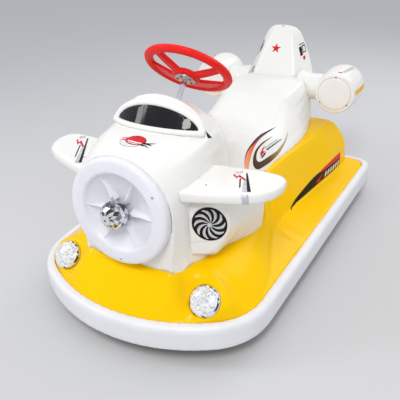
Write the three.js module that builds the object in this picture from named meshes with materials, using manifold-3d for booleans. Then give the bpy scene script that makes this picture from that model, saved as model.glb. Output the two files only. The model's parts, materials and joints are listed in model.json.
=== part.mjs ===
// Aeroplane-shaped battery bumper car. Millimetres, +Z up, floor at z = 0, nose towards -Y.
// +X is the rider's left. Names with _left are on +X, _right on -X.
import * as THREE from "three";
import { mergeVertices } from "three/addons/utils/BufferGeometryUtils.js";
import Module from "manifold-3d";

const wasm = await Module();
wasm.setup();

// ---------- driving dimensions ----------
const GAP = 0.4; // between pieces that rest on each other
const MIDDLE_Y = 30; // middle of the overall length, which the finished group is centred on

// base outline: the line where the shell meets the bumper band
const NOSE_Y = -604, // front point of the arc
  TAIL_Y = 604,
  ARC_R = 464,
  HALF_FRONT = 330,
  HALF_REAR = 386,
  FRONT_CORNER = 72,
  REAR_CORNER = 64;
const SHELL_WALL = 5,
  SKIRT_LOW = 62;

// white body
const WING_TOP = 444,
  WING_THICK = 30;
const NOSE = { y: -537, z: 378, tilt: 0.068, rim: 143 };
const BALL_R = 36,
  BALL_OUT = 9; // how far the ball's middle stands before the dish's face
const SHELF = { y: 404, z: 444.8, slope: 0.1, half: 150, reach: 86 };
const SCREEN = { halfWidth: 131, sillHalf: 136, foot: 534, rise: 64, radius: 215, lean: 0.69, sillY: -368,
  sillZ: 545 };

// steering
// rim and tube: radii of the ring's middle and section; top: where the wheel's open side points
const WHEEL = { y: -163, z: 641, tilt: 0.709, rim: 114.5, tube: 13, thick: 11, dish: 20, top: 1.135 };
const STEER_Y = -330; // vertical axis of the fork
const DRIVE_R = 68,
  DRIVE_HALF = 21;

// rear running gear
const AXLE_Y = 300,
  REAR_R = 75,
  REAR_HALF = 19,
  REAR_X = 196;

const TUBE = 25, // frame tubes, square
  FRAME_Z = 92, // middle of the lower tubes
  RAIL_X = 130,
  RAIL_THICK = 12;

const LAMP = { x: 224, y: -507, z: 163, ny: -0.722, nz: 0.692 };
const POD = { x: 256, y: 484, z: 420, rim: 74, wide: 82.5, length: 206 };

// ---------- materials ----------
const paint = (name, color, roughness, metalness = 0) =>
  Object.assign(new THREE.MeshStandardMaterial({ color, roughness, metalness }), { name });
const M = {
  yellow: paint("yellow_plastic", 0xffc800, 0.25),
  white: paint("white_plastic", 0xf2f1ea, 0.3),
  band: paint("bumper_rubber", 0xe9e9ee, 0.5),
  milky: paint("milky_plastic", 0xe8e8f0, 0.35),
  red: paint("red_plastic", 0xc81e1e, 0.4),
  black: paint("black_gloss", 0x0b0b0d, 0.1),
  clear: paint("clear_plastic", 0xdfe4ea, 0.05),
  chrome: paint("chrome", 0xd6d8dc, 0.1, 1),
  steel: paint("steel", 0x3a3d42, 0.5, 0.8),
  tyre: paint("tyre_rubber", 0x1b1b1c, 0.85),
  rim: paint("rim_plastic", 0xb9bcc0, 0.5),
  case: paint("dark_plastic", 0x2a2c30, 0.6),
};

// ---------- solids ----------
function solid(geometry) {
  const g = geometry.clone();
  g.deleteAttribute("normal");
  g.deleteAttribute("uv");
  const m = mergeVertices(g, 1e-4);
  return new wasm.Manifold(
    new wasm.Mesh({
      numProp: 3,
      vertProperties: new Float32Array(m.attributes.position.array),
      triVerts: new Uint32Array(m.index.array),
    }),
  );
}
const add = (...list) => list.reduce((a, b) => a.add(b));
const cut = (a, ...list) => list.reduce((s, b) => s.subtract(b), a);

const group = new THREE.Group();
group.name = "bumper_car";
function node(name, shape, material) {
  const m = shape.translate([0, -MIDDLE_Y, 0]).getMesh();
  const g = new THREE.BufferGeometry();
  const v = new Float32Array(m.numVert * 3);
  for (let i = 0; i < m.numVert; i++)
    v.set(m.vertProperties.subarray(i * m.numProp, i * m.numProp + 3), i * 3);
  g.setAttribute("position", new THREE.BufferAttribute(v, 3));
  g.setIndex(new THREE.BufferAttribute(new Uint32Array(m.triVerts), 1));
  g.computeVertexNormals();
  const mesh = new THREE.Mesh(g, material);
  mesh.name = name;
  group.add(mesh);
  return shape;
}

// rings: rows of points, each row closed; both ends get a flat fan unless the loft is closed on itself
function loft(rings, closed = false) {
  const n = rings[0].length,
    pos = [],
    idx = [];
  rings.forEach((r) => r.forEach((p) => pos.push(...p)));
  const at = (i, j) => (i % rings.length) * n + (((j % n) + n) % n);
  const last = closed ? rings.length : rings.length - 1;
  for (let i = 0; i < last; i++)
    for (let j = 0; j < n; j++)
      idx.push(at(i, j), at(i, j + 1), at(i + 1, j + 1), at(i, j), at(i + 1, j + 1), at(i + 1, j));
  if (!closed)
    for (const [row, flip] of [[0, true], [rings.length - 1, false]]) {
      const c = [0, 1, 2].map((k) => rings[row].reduce((s, p) => s + p[k], 0) / n);
      const ci = pos.length / 3;
      pos.push(...c);
      for (let j = 0; j < n; j++)
        flip ? idx.push(ci, at(row, j + 1), at(row, j)) : idx.push(ci, at(row, j), at(row, j + 1));
    }
  const g = new THREE.BufferGeometry();
  g.setAttribute("position", new THREE.BufferAttribute(new Float32Array(pos), 3));
  g.setIndex(idx);
  const s = solid(dropSlivers(g));
  return s.volume() < 0 ? solid(turnedOut(g)) : s;
}
function dropSlivers(g) {
  const m = mergeVertices(g, 1e-3),
    a = m.index.array,
    keep = [];
  for (let i = 0; i < a.length; i += 3)
    if (a[i] !== a[i + 1] && a[i + 1] !== a[i + 2] && a[i] !== a[i + 2]) keep.push(a[i], a[i + 1], a[i + 2]);
  m.setIndex(keep);
  return m;
}
function turnedOut(g) {
  const m = dropSlivers(g),
    a = Array.from(m.index.array);
  for (let i = 0; i < a.length; i += 3) [a[i + 1], a[i + 2]] = [a[i + 2], a[i + 1]];
  m.setIndex(a);
  return m;
}

const V = (x, y, z) => new THREE.Vector3(x, y, z);
function box(x0, x1, y0, y1, z0, z1) {
  return solid(
    new THREE.BoxGeometry(x1 - x0, y1 - y0, z1 - z0).translate((x0 + x1) / 2, (y0 + y1) / 2, (z0 + z1) / 2),
  );
}
// a turned solid: profile of [radius, height along axis], axis from origin point o along direction d
function turned(profile, o, d, segments = 32) {
  const pts = profile.map(([r, h]) => new THREE.Vector2(Math.max(r, 0), h));
  const g = new THREE.LatheGeometry(pts, segments);
  const q = new THREE.Quaternion().setFromUnitVectors(V(0, 1, 0), d.clone().normalize());
  g.applyQuaternion(q).translate(o.x, o.y, o.z);
  const s = solid(dropSlivers(g));
  return s.volume() < 0 ? solid(turnedOut(g)) : s;
}
const rod = (r, o, d, h0, h1, segments = 24) =>
  turned([[0, h0], [r, h0], [r, h1], [0, h1]], o, d, segments);

const smooth = (t) => {
  const u = Math.min(1, Math.max(0, t));
  return u * u * (3 - 2 * u);
};
const mix = (a, b, t) => a + (b - a) * t;
// Catmull-Rom through equal-length rows of numbers
function spline(rows, keys, k) {
  let i = 0;
  while (i < keys.length - 2 && k > keys[i + 1]) i++;
  const t = (k - keys[i]) / (keys[i + 1] - keys[i]);
  const p = (j) => rows[Math.min(rows.length - 1, Math.max(0, j))];
  const x = (j) => keys[Math.min(keys.length - 1, Math.max(0, j))];
  return p(i).map((_, c) => {
    const slope = (j) => {
      const a = Math.max(0, j - 1),
        b = Math.min(rows.length - 1, j + 1);
      return a === b ? 0 : (p(b)[c] - p(a)[c]) / (x(b) - x(a));
    };
    const h = keys[i + 1] - keys[i],
      t2 = t * t,
      t3 = t2 * t;
    return (
      (2 * t3 - 3 * t2 + 1) * p(i)[c] +
      (t3 - 2 * t2 + t) * h * slope(i) +
      (-2 * t3 + 3 * t2) * p(i + 1)[c] +
      (t3 - t2) * h * slope(i + 1)
    );
  });
}
// mirrored body lofted along Y: stations of [y, half-section points from bottom centre to top centre]
function hull(stations, ys, per = 3) {
  const keys = stations.map((s) => s[0]);
  const flat = stations.map((s) => s[1].flat());
  const rings = ys.map((y) => {
    const f = spline(flat, keys, y),
      half = [];
    for (let i = 0; i < f.length; i += 2) half.push([f[i], f[i + 1]]);
    const tk = half.map((_, i) => i),
      line = [];
    for (let i = 0; i <= (half.length - 1) * per; i++) line.push(spline(half, tk, i / per));
    line[0][0] = 0;
    line[line.length - 1][0] = 0;
    const right = line.map(([x, z]) => [Math.max(0, x), y, z]);
    const left = right.slice(1, -1).reverse().map(([x, , z]) => [-x, y, z]);
    return [...right, ...left];
  });
  return loft(rings);
}
const range = (a, b, n) => Array.from({ length: n + 1 }, (_, i) => a + ((b - a) * i) / n);

// ---------- base outline ----------
const SIDE_STEPS = [0, 0.05, 0.1, 0.15, 0.2, 0.25, 0.3, 0.36, 0.44, 0.55, 0.7, 0.86, 1];
function halfOutline(out, steps) {
  const R = ARC_R + out,
    yc = NOSE_Y + ARC_R,
    wf = HALF_FRONT + out;
  const th = Math.asin(wf / R),
    corner = new THREE.Vector2(wf, yc - R * Math.cos(th)),
    rear = new THREE.Vector2(HALF_REAR + out, TAIL_Y + out);
  const rc = FRONT_CORNER + out * 0.6,
    rr = REAR_CORNER + out * 0.6;
  const pts = range(0, th - rc / R, 11).map((t) => new THREE.Vector2(R * Math.sin(t), yc - R * Math.cos(t)));
  const side = rear.clone().sub(corner).normalize();
  const round = (p0, p1, p2, n) =>
    range(0, 1, n).slice(1).map((t) =>
      new THREE.Vector2(
        (1 - t) ** 2 * p0.x + 2 * t * (1 - t) * p1.x + t * t * p2.x,
        (1 - t) ** 2 * p0.y + 2 * t * (1 - t) * p1.y + t * t * p2.y,
      ));
  const c2 = corner.clone().addScaledVector(side, rc);
  pts.push(...round(pts[pts.length - 1], corner, c2, 4));
  const r0 = rear.clone().addScaledVector(side, -rr);
  for (const t of steps.slice(1)) pts.push(c2.clone().lerp(r0, t));
  pts.push(...round(r0, rear, new THREE.Vector2(rear.x - rr, rear.y), 4));
  const end = pts[pts.length - 1];
  for (const t of range(0, 1, 3).slice(1)) pts.push(new THREE.Vector2(mix(end.x, 0, t), end.y));
  return pts;
}
const mirrored = (half, flip) => [...half, ...half.slice(1, -1).reverse().map(flip)];
const outline = (out, steps = range(0, 1, 4)) =>
  mirrored(halfOutline(out, steps), (p) => new THREE.Vector2(-p.x, p.y));

// ---------- yellow shell ----------
// Going round from the nose to the tail, one row per outline point: the foot of the raised part [x, y, z]
// and its upper edge [x, y, z]. The flat ledge lies between the bumper band and the foot.
const SIDE_FOOT = [
  [-394, 330, 124], [-340, 328, 124], [-318, 326, 125], [-270, 311, 130], [-201, 285, 141], [-129, 260, 150],
  [-60, 249, 143], [20, 246, 134], [87, 247, 130], [154, 255, 129], [312, 281, 128], [500, 308, 127],
  [545, 312, 127],
];
const SIDE_EDGE = [
  [-394, 173, 214], [-334, 186, 213], [-270, 215, 212], [-226, 235, 212], [-190, 243, 213],
  [-160, 244, 219], [-120, 230, 250],
  [-60, 200, 294], [20, 192, 299], [87, 197, 299], [154, 207, 299], [312, 229, 299], [470, 252, 299],
  [520, 253, 298],
];
const CHIN = [
  [0, -517, 221], [21, -517, 221], [42, -517, 221], [63, -516, 221], [84, -516, 221], [105, -514, 222],
  [123, -512, 226], [137, -508, 231], [147, -496, 232], [152, -483, 230], [156, -470, 226], [160, -454, 221],
  [163, -441, 218], [166, -427, 216], [169, -411, 214], [172, -397, 214],
];
const REAR_FOOT = [[311, 560, 127], [300, 579, 127], [278, 590, 127], [248, 595, 127], [165, 597, 127],
  [82, 597, 127], [0, 597, 127]];
const REAR_EDGE = [[250, 529, 297], [240, 538, 297], [224, 544, 296], [200, 547, 296], [132, 549, 296],
  [66, 550, 296], [0, 550, 296]];
const along = (table, y) => spline(table, table.map((r) => r[0]), y);
function footAndEdge() {
  const half = halfOutline(0, SIDE_STEPS);
  return half.map((p, i) => {
    if (i < CHIN.length) {
      const l = Math.hypot(p.x, p.y + 140);
      const k = (l - 5) / l;
      return { rim: p, foot: [p.x * k, (p.y + 140) * k - 140, 124], edge: CHIN[i], front: 1 };
    }
    const j = i - (half.length - REAR_FOOT.length);
    if (j >= 0) return { rim: p, foot: REAR_FOOT[j], edge: REAR_EDGE[j], front: 0 };
    const edgeY = p.y * 0.975 - 8;
    const f = along(SIDE_FOOT, p.y),
      e = along(SIDE_EDGE, edgeY);
    return { rim: p, foot: [f[1], p.y, f[2]], edge: [e[1], edgeY, e[2]], front: smooth((-130 - p.y) / 150) };
  });
}
const SPOKES = footAndEdge();
// a row of the upper surface: t from 0 at the foot to 1 at the upper edge, then on to 2 at the centre line
function shellRow(t) {
  const half = SPOKES.map(({ foot, edge, front }) => {
    if (t > 1) return [mix(edge[0], 0, t - 1), mix(edge[1], edge[1] * 0.75, t - 1), edge[2]];
    const back = smooth((foot[1] - 120) / 400);
    const flank = mix(0.45 * t + 0.55 * smooth(t), t ** 0.36, back);
    const rise = mix(flank, 1 - (1 - t) ** 1.8, front);
    const x = mix(foot[0], edge[0], t),
      y = mix(foot[1], edge[1], t);
    const scoop = front * 15 * smooth((172 - x) / 55) * Math.sin(Math.PI * t);
    return [x, y, lampMound(x, y, mix(foot[2], edge[2], rise) - scoop)];
  });
  return mirrored(half, ([x, y, z]) => [-x, y, z]);
}
// the shell is flat round each front lamp, square to the lamp's axis
function lampMound(x, y, z) {
  const face = LAMP.z - ((y - LAMP.y) * LAMP.ny) / LAMP.nz - 1;
  const away = Math.hypot(x - LAMP.x, (y - LAMP.y) / LAMP.nz);
  return mix(face, z, smooth((away - 44) / 56));
}
function baseShell() {
  const wall = (out, z) => outline(out, SIDE_STEPS).map((p) => [p.x, p.y, z]);
  const top = [wall(-1.5, 122.5), ...[0, 0.04, 0.14, 0.3, 0.48, 0.66, 0.84, 1, 1.12, 1.5, 2].map(shellRow)];
  const n = top[0].length;
  // the underside runs one wall thickness below the surface, square to it
  const below = (i) =>
    top[i].map((p, j) => {
      const a = top[Math.min(i + 1, top.length - 1)][j],
        b = top[i - 1][j];
      const c = top[i][(j + 1) % n],
        d = top[i][(j + n - 1) % n];
      const u = V(a[0] - b[0], a[1] - b[1], a[2] - b[2]),
        w = V(c[0] - d[0], c[1] - d[1], c[2] - d[2]);
      const m = new THREE.Vector3().crossVectors(w, u).normalize();
      if (m.z < 0) m.negate();
      if (i >= top.length - 2) m.set(0, 0, 1);
      return [p[0] - m.x * SHELL_WALL, p[1] - m.y * SHELL_WALL, p[2] - m.z * SHELL_WALL];
    });
  const rings = [
    wall(-GAP, SKIRT_LOW),
    wall(-GAP, 118),
    ...top,
    ...[11, 10, 9, 7, 5, 4, 3, 1].map(below),
    wall(-GAP - SHELL_WALL - 1, 112),
    wall(-GAP - SHELL_WALL - 1, SKIRT_LOW),
  ];
  return { rings, topRows: 2 + top.length };
}
const lampAxis = V(0, LAMP.ny, LAMP.nz).normalize();
const lampPoint = (side) => V(side * LAMP.x, LAMP.y, LAMP.z);
function shell() {
  const { rings } = baseShell();
  let s = loft(rings, true);
  for (const side of [1, -1]) {
    const o = lampPoint(side);
    const cup = turned([[0, -24], [50, -24], [46, -5], [0, -5]], o, lampAxis, 24);
    s = cut(s.add(cup), rod(42.6, o, lampAxis, -5, 90, 24));
  }
  return s;
}
// everything under the shell's upper surface, used to trim the white body
function shellFilled() {
  const { rings, topRows } = baseShell();
  const top = rings.slice(0, topRows).map((r) => r.map(([x, y, z]) => [x, y, z + GAP]));
  top[0] = top[0].map(([x, y]) => [x, y, 0]);
  const centre = top[topRows - 1].map(([, y]) => [0, y, 0]);
  return loft([...top, centre], true);
}

// ---------- bumper band ----------
function bumperBand() {
  const section = [[0, 56], [6, 50], [20, 50], [25, 54], [26, 62], [26, 110], [23, 119], [16, 124],
    [6, 125], [0, 124]];
  const rings = section.map(([o, z]) => outline(o).map((p) => [p.x, p.y, z]));
  return loft(rings, true);
}

// ---------- white body ----------
const noseAxis = V(0, -Math.cos(NOSE.tilt), Math.sin(NOSE.tilt));
const noseCentre = V(0, NOSE.y, NOSE.z);
const screenY = (x, z) =>
  SCREEN.sillY + SCREEN.radius + SCREEN.lean * (z - SCREEN.sillZ) - Math.sqrt(SCREEN.radius ** 2 - x * x);

function cowl() {
  const st = [
    [-513, [[0, 170], [121, 172], [135, 250], [146, 340], [140, 425], [104, 481], [55, 513], [0, 523]]],
    [-470, [[0, 170], [148, 172], [152, 250], [154, 340], [147, 430], [120, 495], [64, 522], [0, 530]]],
    [-400, [[0, 170], [166, 172], [162, 250], [157, 340], [151, 435], [140, 508], [74, 534], [0, 539]]],
    [-330, [[0, 170], [180, 172], [170, 250], [158, 340], [152, 435], [145, 518], [76, 540], [0, 545]]],
    [-262, [[0, 170], [190, 172], [174, 250], [158, 340], [150, 430], [138, 516], [84, 542], [0, 552]]],
    [-200, [[0, 170], [186, 172], [170, 250], [156, 330], [147, 410], [128, 480], [86, 530], [0, 552]]],
  ];
  return hull(st, [-513, -496, -470, -400, -330, -262, -231, -200.4], 2);
}
// rounded cover behind the windscreen, falling towards the foot of the steering column
function hood() {
  const row = (y, half, top) => [
    ...range(0, Math.PI, 16).map((a) => [half * Math.cos(a), y, 470 + (top - 470) * Math.sin(a) ** 0.8]),
    [-100, y, 440], [100, y, 440],
  ];
  const body = loft([
    row(-400, 143, 613), row(-312, 143, 613), row(-290, 142, 604), row(-262, 138, 590), row(-230, 128,
      571), row(-201, 112, 555),
  ]);
  const circle = (z) =>
    range(0, 2 * Math.PI, 72).slice(0, -1).map((a) => [
      SCREEN.radius * Math.cos(a),
      SCREEN.sillY + SCREEN.radius + SCREEN.lean * (z - SCREEN.sillZ) + SCREEN.radius * Math.sin(a),
      z,
    ]);
  return body.intersect(loft([circle(400), circle(660)]));
}
// engine cheek under the wing: from the angled fan face back to a rounded tail
function cheek(side) {
  // c: middle of the row, u: direction outwards, pi, po: inner and outer reach, pl: reach at the foot
  const row = (c, u, pi, po, pl, z0, z1, r) => {
    const zm = mix(z0, z1, 0.52);
    const profile = [
      [pi, z0 + 6], [pi, z1 - 6],
      ...[90, 60, 30, 0].map((d) => [po - r * (1 - Math.cos((d * Math.PI) / 180)),
      z1 - r * (1 - Math.sin((d * Math.PI) / 180))]),
      ...[0, 0.3, 0.55, 0.78, 0.93, 1].map((k) => [mix(po, pl, k ** 1.7), mix(zm, z0 + 6, k)]),
      [pl - 8, z0],
    ];
    return profile.map(([p, z]) => [side * (c[0] + u[0] * p), c[1] + u[1] * p, z]);
  };
  return loft([
    row([195, -420], [0.8, 0.6], -49, 49, 8, 246, 390, 6),
    row([194.4, -417], [0.8, 0.6], -51, 52, 12, 242, 394, 8),
    row([192, -410], [0.8, 0.6], -60, 55, 24, 238, 400, 13),
    row([184, -380], [0.88, 0.48], -70, 62, 6, 208, 403, 17),
    row([172, -330], [0.96, 0.28], -80, 73, 20, 200, 404, 19),
    row([166, -270], [1, 0], -76, 81, 52, 200, 399, 22),
    row([162, -226], [1, 0], -72, 88, 75, 200, 384, 26),
    row([160, -186], [1, 0], -70, 90, 84, 203, 366, 32),
    row([156, -158], [1, 0], -66, 82, 80, 212, 350, 40),
    row([148, -140], [1, 0], -58, 60, 60, 232, 336, 40),
    row([138, -131], [1, 0], -48, 34, 34, 256, 322, 28),
  ]);
}
const columnAxis = V(0, Math.sin(WHEEL.tilt), Math.cos(WHEEL.tilt));
const wheelCentre = V(0, WHEEL.y, WHEEL.z);

function frontFuselage(under) {
  let s = add(cowl(), hood(), cheek(1), cheek(-1));
  const pocket = add(rod(118, noseCentre, noseAxis, -56, 60, 24), rod(NOSE.rim + 1, noseCentre, noseAxis,
    -26.4, 60, 36));
  const bore = rod(11, wheelCentre, columnAxis, -150, 0, 20);
  s = cut(s, pocket, bore, under);
  return biggest(s);
}
function biggest(s) {
  return s.decompose().sort((a, b) => b.volume() - a.volume())[0];
}

// the seat shelf is one flat face, rising slightly towards the backrest
function shelfCutter() {
  const { y, z, slope, half, reach } = SHELF;
  const g = new THREE.BoxGeometry(half * 2, reach * 2, 60).translate(0, 0, 30);
  return solid(g.rotateX(Math.atan(slope)).translate(0, y, z));
}
function seatBody(under, front) {
  const st = [
    [-200, [[0, 200], [140, 202], [158, 262], [156, 330], [147, 410], [130, 480], [88, 530], [0, 556]]],
    [-130, [[0, 240], [150, 242], [164, 285], [152, 350], [132, 410], [112, 455], [74, 498], [0, 518]]],
    [-60, [[0, 260], [160, 262], [178, 300], [158, 345], [132, 385], [104, 420], [66, 452], [0, 472]]],
    [40, [[0, 260], [166, 262], [182, 300], [164, 330], [140, 362], [108, 388], [66, 408], [0, 418]]],
    [150, [[0, 260], [176, 262], [196, 298], [174, 322], [146, 348], [112, 366], [64, 372], [0, 372]]],
    [230, [[0, 260], [182, 262], [203, 298], [180, 330], [148, 366], [108, 392], [60, 390], [0, 388]]],
    [318, [[0, 260], [184, 262], [204, 298], [186, 335], [150, 392], [110, 434], [58, 437], [0, 437]]],
    [330, [[0, 260], [184, 262], [204, 298], [186, 335], [152, 395], [118, 441], [58, 446], [0, 446]]],
    [500, [[0, 260], [158, 262], [172, 298], [168, 335], [154, 400], [132, 452], [58, 455.4], [0, 455.4]]],
    [560, [[0, 276], [134, 278], [146, 306], [148, 340], [143, 400], [138, 448], [58, 454], [0, 454]]],
    [600, [[0, 350], [112, 352], [124, 364], [130, 384], [132, 408], [126, 436], [56, 446], [0, 446]]],
  ];
  const s = hull(st, [-199.6, -165, -130, -95, -60, -10, 40, 95, 150, 190, 230, 275, 318, 330, 500, 530,
    560, 582, 600], 2);
  const pod = add(...[1, -1].map((k) => rod(50.4, V(0, 540, 424), V(k, 0, 0), 138, 400, 28)));
  const bore = rod(11, wheelCentre, columnAxis, -150, 0, 20);
  return biggest(cut(s, under, pod, bore, front, front.translate([0, GAP, 0]), shelfCutter()));
}

function tailBackrest(seat) {
  // [z, front y, front half width, rear half width, rear y]
  const rows = [
    [420, 497, 100, 137, 606],
    [461, 516, 88, 131, 622],
    [520, 544, 72, 110, 627],
    [575, 570, 56, 86, 628],
    [610, 586, 45, 68, 626],
    [626, 596, 34, 50, 620],
    [633, 604, 20, 28, 612],
  ];
  const s = loft(rows.map(([z, fy, fw, rw, ry]) => [
    [-fw, fy + 4, z], [-fw + 8, fy, z], [fw - 8, fy, z], [fw, fy + 4, z],
    [mix(fw, rw, 0.5) + 3, mix(fy, ry, 0.5), z],
    [rw, ry - 8, z], [rw - 10, ry, z], [-rw + 10, ry, z], [-rw, ry - 8, z],
    [-mix(fw, rw, 0.5) - 3, mix(fy, ry, 0.5), z],
  ]));
  return cut(s, seat, seat.translate([0, 0, GAP]), seat.translate([0, GAP, 0]));
}

function wing(side, body) {
  const plan = [
    [118, -492], [190, -466], [241, -447], [290, -427], [325, -403], [345, -371], [353, -334], [350, -304],
    [330, -287], [280, -284], [208, -292], [160, -300], [118, -310],
  ];
  const c = [225, -385];
  const ring = (grow, z) =>
    plan.map(([x, y]) => {
      const l = Math.hypot(x - c[0], y - c[1]);
      return [side * (x - (x < 130 ? 0 : (grow * (x - c[0])) / l)), y - (grow * (y - c[1])) / l, z];
    });
  const z1 = WING_TOP,
    z0 = WING_TOP - WING_THICK;
  const s = loft([ring(9, z0), ring(2, z0 + 4), ring(0, z0 + 11), ring(0, z1 - 9), ring(2.5, z1 - 3),
    ring(9, z1)]);
  return biggest(cut(s, body, body.translate([side * GAP, 0, 0])));
}

function noseCover() {
  const r = NOSE.rim;
  const p = [
    [0, -44], [30, -44], [60, -38], [90, -30], [108, -26], [r - 2, -26], [r, -20], [r, -6], [r - 2, -0.6],
    [r - 7, 2.4],
    [r - 12, 3.2], [110, 3.6], [105, 2.4], [101, -1.4], [98, -6], [88, -12.4], [70, -19.6], [48, -25.5],
    [28, -28],
    [0, -28.5],
  ];
  let s = turned(p, noseCentre, noseAxis, 36);
  for (let i = 0; i < 6; i++) s = s.add(noseBlade(i));
  return cut(s, rod(BALL_R + 2, noseCentre, noseAxis, BALL_OUT - 20, 60, 24));
}
// star rib in the dish: wide and tall near the ball, running out to a point
function noseBlade(i) {
  const a = (i * Math.PI) / 3;
  const e1 = V(1, 0, 0),
    e2 = new THREE.Vector3().crossVectors(noseAxis, e1);
  const at = (r, w, h) => {
    const d = e1.clone().multiplyScalar(Math.cos(a)).addScaledVector(e2, Math.sin(a));
    const n = e1.clone().multiplyScalar(-Math.sin(a)).addScaledVector(e2, Math.cos(a));
    const p = noseCentre.clone().addScaledVector(d, r).addScaledVector(n, w).addScaledVector(noseAxis, h);
    return [p.x, p.y, p.z];
  };
  const row = (r, w, h, low) => [at(r, -w, low), at(r, w, low), at(r, w * 0.16, h), at(r, -w * 0.16, h)];
  return loft([row(30, 10, -5, -36), row(64, 6.4, -8.5, -27), row(104, 1.2, -3, -14)]);
}
function noseBall() {
  const ball = solid(new THREE.IcosahedronGeometry(BALL_R, 2).translate(0, 0, 0));
  const c = noseCentre.clone().addScaledVector(noseAxis, BALL_OUT);
  return add(ball.translate(c.toArray()), rod(9, noseCentre, noseAxis, -27.5, -15, 20),
    rod(11, c, noseAxis, BALL_R - 6, BALL_R + 1, 20));
}

// ---------- windscreen ----------
function sweep(path, section, closed = false) {
  const rings = path.map((p, i) => {
    const a = path[closed ? (i + path.length - 1) % path.length : Math.max(0, i - 1)],
      b = path[closed ? (i + 1) % path.length : Math.min(path.length - 1, i + 1)];
    const t = b.clone().sub(a).normalize();
    const f = V(0, -1, SCREEN.lean).normalize();
    const u = new THREE.Vector3().crossVectors(t, f).normalize(),
      w = new THREE.Vector3().crossVectors(u, t).normalize();
    return section.map(([su, sw]) => {
      const q = p.clone().addScaledVector(u, su).addScaledVector(w, sw);
      return [q.x, q.y, q.z];
    });
  });
  return loft(rings, closed);
}
const oval = (a, b, n = 10) => range(0, 2 * Math.PI, n).slice(0, -1).map((t) => [a * Math.cos(t),
  b * Math.sin(t)]);
function windscreenFrame(body) {
  const arch = range(0.06, Math.PI - 0.06, 18).map((a) => {
    const x = SCREEN.halfWidth * Math.cos(a),
      z = SCREEN.foot + SCREEN.rise * Math.sin(a) ** 1.2;
    return V(x, screenY(x, z) - 2, z);
  });
  const sill = range(-SCREEN.sillHalf, SCREEN.sillHalf, 12).map((x) =>
    V(x, screenY(x, 534) - 5, 543 - 9 * (x / SCREEN.sillHalf) ** 2));
  const s = add(sweep(arch, oval(10, 7, 8)), sweep(sill, oval(8, 8, 8)));
  return biggest(cut(s, body, body.translate([0, -GAP, 0]), body.translate([0, 0, GAP])));
}
function windscreenPanel(frame) {
  const rings = range(-120, 120, 14).map((x) => {
    const z0 = SCREEN.foot + 12 - 8 * (x / 120) ** 2,
      z1 = SCREEN.foot - 2 + SCREEN.rise * (1 - (x / SCREEN.halfWidth) ** 2) ** 0.6;
    const y = (z, o) => [x, screenY(x, z) - o, z];
    const zm = (z0 + z1) / 2;
    return [y(z0, 0.6), y(zm, 0.6), y(z1, 0.6), y(z1, 4), y(zm, 4), y(z0, 4)];
  });
  return biggest(cut(loft(rings), frame, frame.translate([0, 0, GAP]), frame.translate([0, 0, -GAP])));
}

// ---------- steering wheel and column ----------
const wheelX = V(1, 0, 0),
  wheelUp = V(0, -Math.cos(WHEEL.tilt), Math.sin(WHEEL.tilt));
const onWheel = (r, a, h) =>
  wheelCentre.clone().addScaledVector(wheelX, r * Math.cos(a)).addScaledVector(wheelUp,
    r * Math.sin(a)).addScaledVector(columnAxis, h);
function steeringWheel() {
  const n = 40;
  const rings = range(0, 2 * Math.PI, n).slice(0, -1).map((a) => {
    return oval(WHEEL.tube, WHEEL.thick, 8).map(([u, v]) => onWheel(WHEEL.rim + u, a, v).toArray());
  });
  let s = loft(rings, true);
  const d = WHEEL.dish;
  s = s.add(turned([[0, -8 - d], [34, -8 - d], [40, -4 - d], [40, 4 - d], [34, 9 - d],
    [0, 10 - d]], wheelCentre, columnAxis, 30));
  // spokes and web are rows across, from the sunken hub (28) up to the rim
  const across = (r, a, w, h0, h1) => {
    const side = onWheel(1, a + Math.PI / 2, 0).sub(wheelCentre);
    return [[-w, h0], [w, h0], [w, h1], [-w, h1]].map(([k, h]) => onWheel(r, a, h).addScaledVector(side,
      k).toArray());
  };
  for (const k of [-1, 1]) {
    const a = WHEEL.top + k * 0.925;
    s = s.add(loft([
      across(28, a - k * 0.08, 10, -7 - d, 6 - d), across(78, a, 8, -9 - d * 0.35, 5 - d * 0.35),
      across(WHEEL.rim - 3, a, 9, -6, 5),
    ]));
  }
  const under = WHEEL.top + Math.PI;
  const sector = range(under - 1.4, under + 1.4, 8).map((a) =>
    [[30, -8 - d], [106, -6], [106, 3], [30, 2 - d]].map(([r, h]) => onWheel(r, a, h).toArray()));
  return s.add(loft(sector));
}
const hubPlate = () =>
  turned([[0, -13], [26, -13], [29, -11], [29, -8.4],
    [0, -8.4]].map(([r, h]) => [r, h - WHEEL.dish]), wheelCentre, columnAxis, 28);
const steeringColumn = () => rod(8, wheelCentre, columnAxis, -140, -13.4 - WHEEL.dish, 20);

// ---------- running gear ----------
const tyreProfile = (r, hw, bore) => [
  [bore, -hw + 3], [r * 0.8, -hw], [r - 5, -hw + 3], [r, -hw * 0.45], [r, hw * 0.45], [r - 5, hw - 3],
  [r * 0.8, hw], [bore, hw - 3], [bore, -hw + 3],
];
const rimProfile = (r, hw, bore) => [
  [bore, -hw], [bore + 12, -hw], [bore + 13, -4], [r - 8, -4], [r - 6, -hw + 4], [r, -hw + 4],
  [r, hw - 4], [r - 6, hw - 4], [r - 8, 4], [bore + 13, 4], [bore + 12, hw], [bore, hw], [bore, -hw],
];
function wheelPair(x, y, z, r, hw, bore) {
  const o = V(x, y, z),
    d = V(1, 0, 0);
  return [turned(tyreProfile(r, hw, r * 0.62 + GAP), o, d, 28), turned(rimProfile(r * 0.62, hw, bore), o,
    d, 20)];
}
function steeringFork() {
  const y = STEER_Y;
  const s = add(
    box(-34, -29, y - 20, y + 20, 46, 152),
    box(29, 34, y - 20, y + 20, 46, 152),
    box(-34, 34, y - 24, y + 24, 147, 153),
    rod(11, V(0, y, 0), V(0, 0, 1), 152, 178, 20),
    rod(8, V(0, y, DRIVE_R), V(1, 0, 0), -30, 30, 20),
  );
  return s;
}
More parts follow.
